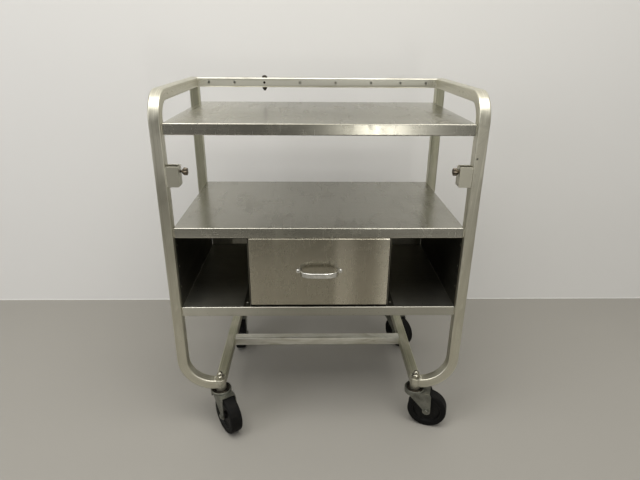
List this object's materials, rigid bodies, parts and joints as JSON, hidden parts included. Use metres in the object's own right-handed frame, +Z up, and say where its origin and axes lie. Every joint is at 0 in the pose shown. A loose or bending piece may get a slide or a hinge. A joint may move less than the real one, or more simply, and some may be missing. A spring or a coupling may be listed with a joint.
{
  "type": "instrument cart",
  "caption": "Stainless steel rolling cart for an ECG recorder: bent square-tube frame, stacked shelves, a drawer between open bays, accessory sockets and swivel casters.",
  "frame": {"origin": "middle of the bounding box's footprint, on the floor under the casters", "axes": "+Z up, +X to the right as seen from the drawer side, drawer opens towards -Y"},
  "size_m": [0.7226, 0.4998, 0.8729],
  "materials": {
    "satin_sheet": "brushed satin stainless sheet, smudged",
    "drawer_sheet": "brushed satin stainless sheet, upright grain",
    "satin_tube": "satin stainless square tube, lengthwise grain",
    "bright_chrome": "polished plate",
    "runner_zinc": "bright zinc plate",
    "bright_nut": "bright plated acorn nut",
    "dark_steel": "oiled dark steel",
    "knob_finish": "dark bronzed metal, worn",
    "caster_zinc": "dull zinc plate",
    "black_tyre": "solid black rubber",
    "black_hub": "moulded black plastic"
  },
  "bodies": {
    "cart": {"back_panel": "satin_sheet", "base_crossbar": "satin_tube", "lower_shelf": "satin_sheet", "middle_shelf": "satin_sheet", "top_shelf": "satin_sheet", "rear_rail": "satin_tube", "rail_bolt": "dark_steel", "left_front_tube": "satin_tube", "left_rear_post": "satin_tube", "left_base_rail": "satin_tube", "left_side_panel": "satin_sheet", "left_partition": "satin_sheet", "left_runner": "runner_zinc", "left_socket": "satin_tube", "right_front_tube": "satin_tube", "right_rear_post": "satin_tube", "right_base_rail": "satin_tube", "right_side_panel": "satin_sheet", "right_partition": "satin_sheet", "right_runner": "runner_zinc", "right_socket": "satin_tube", "front_left_sleeve": "satin_tube", "front_left_stem": "dark_steel", "front_left_nut": "bright_nut", "front_right_sleeve": "satin_tube", "front_right_stem": "dark_steel", "front_right_nut": "bright_nut", "rear_left_sleeve": "satin_tube", "rear_left_stem": "dark_steel", "rear_left_nut": "bright_nut", "rear_right_sleeve": "satin_tube", "rear_right_stem": "dark_steel", "rear_right_nut": "bright_nut"},
    "drawer": {"drawer_front": "drawer_sheet", "drawer_tray": "drawer_sheet", "drawer_handle": "bright_chrome", "left_slide": "runner_zinc", "right_slide": "runner_zinc", "left_pull_screw": "bright_chrome", "right_pull_screw": "bright_chrome"},
    "front_left_caster": {"front_left_fork": "caster_zinc"},
    "front_left_wheel": {"front_left_tyre": "black_tyre", "front_left_hub": "black_hub", "front_left_axle": "caster_zinc"},
    "front_right_caster": {"front_right_fork": "caster_zinc"},
    "front_right_wheel": {"front_right_tyre": "black_tyre", "front_right_hub": "black_hub", "front_right_axle": "caster_zinc"},
    "rear_left_caster": {"rear_left_fork": "caster_zinc"},
    "rear_left_wheel": {"rear_left_tyre": "black_tyre", "rear_left_hub": "black_hub", "rear_left_axle": "caster_zinc"},
    "rear_right_caster": {"rear_right_fork": "caster_zinc"},
    "rear_right_wheel": {"rear_right_tyre": "black_tyre", "rear_right_hub": "black_hub", "rear_right_axle": "caster_zinc"},
    "left_screw": {"left_thumbscrew": "dark_steel"},
    "left_knob_body": {"left_knob": "knob_finish"},
    "right_screw": {"right_thumbscrew": "dark_steel"},
    "right_knob_body": {"right_knob": "knob_finish"}
  },
  "joints": [
    {"name": "drawer_slide", "type": "slide", "parent": "cart", "child": "drawer", "axis": [0, -1, 0], "range_m": [0, 0.3]},
    {"name": "front_left_swivel", "type": "hinge", "parent": "cart", "child": "front_left_caster", "pos_m": [-0.258, -0.17076, 0.1043], "axis": [0, 0, 1], "continuous": true},
    {"name": "front_left_spin", "type": "hinge", "parent": "front_left_caster", "child": "front_left_wheel", "pos_m": [-0.23684, -0.20075, 0.0508], "axis": [0.8171, 0.5764, 0], "continuous": true},
    {"name": "front_right_swivel", "type": "hinge", "parent": "cart", "child": "front_right_caster", "pos_m": [0.258, -0.17076, 0.1043], "axis": [0, 0, 1], "continuous": true},
    {"name": "front_right_spin", "type": "hinge", "parent": "front_right_caster", "child": "front_right_wheel", "pos_m": [0.29278, -0.18247, 0.0508], "axis": [0.319, 0.9478, 0], "continuous": true},
    {"name": "rear_left_swivel", "type": "hinge", "parent": "cart", "child": "rear_left_caster", "pos_m": [-0.258, 0.22294, 0.1043], "axis": [0, 0, 1], "continuous": true},
    {"name": "rear_left_spin", "type": "hinge", "parent": "rear_left_caster", "child": "rear_left_wheel", "pos_m": [-0.2548, 0.18638, 0.0508], "axis": [0.9962, 0.0872, 0], "continuous": true},
    {"name": "rear_right_swivel", "type": "hinge", "parent": "cart", "child": "rear_right_caster", "pos_m": [0.258, 0.22294, 0.1043], "axis": [0, 0, 1], "continuous": true},
    {"name": "rear_right_spin", "type": "hinge", "parent": "rear_right_caster", "child": "rear_right_wheel", "pos_m": [0.27905, 0.19287, 0.0508], "axis": [0.8192, 0.5736, 0], "continuous": true},
    {"name": "left_screw_travel", "type": "slide", "parent": "cart", "child": "left_screw", "axis": [-1, 0, 0], "range_m": [-0.00254, 0.00508]},
    {"name": "left_knob_turn", "type": "hinge", "parent": "left_screw", "child": "left_knob_body", "pos_m": [-0.3025, -0.17076, 0.695], "axis": [-1, 0, 0], "range_deg": [-723.6, 1447.2]},
    {"name": "right_screw_travel", "type": "slide", "parent": "cart", "child": "right_screw", "axis": [1, 0, 0], "range_m": [-0.00508, 0]},
    {"name": "right_knob_turn", "type": "hinge", "parent": "right_screw", "child": "right_knob_body", "pos_m": [0.3072, -0.17076, 0.695], "axis": [1, 0, 0], "range_deg": [-1447.2, 0]}
  ],
  "couplings": [
    {"joint": "left_knob_turn", "follows": "left_screw_travel", "rad_per_m": 4947.4},
    {"joint": "right_knob_turn", "follows": "right_screw_travel", "rad_per_m": 4947.4}
  ]
}
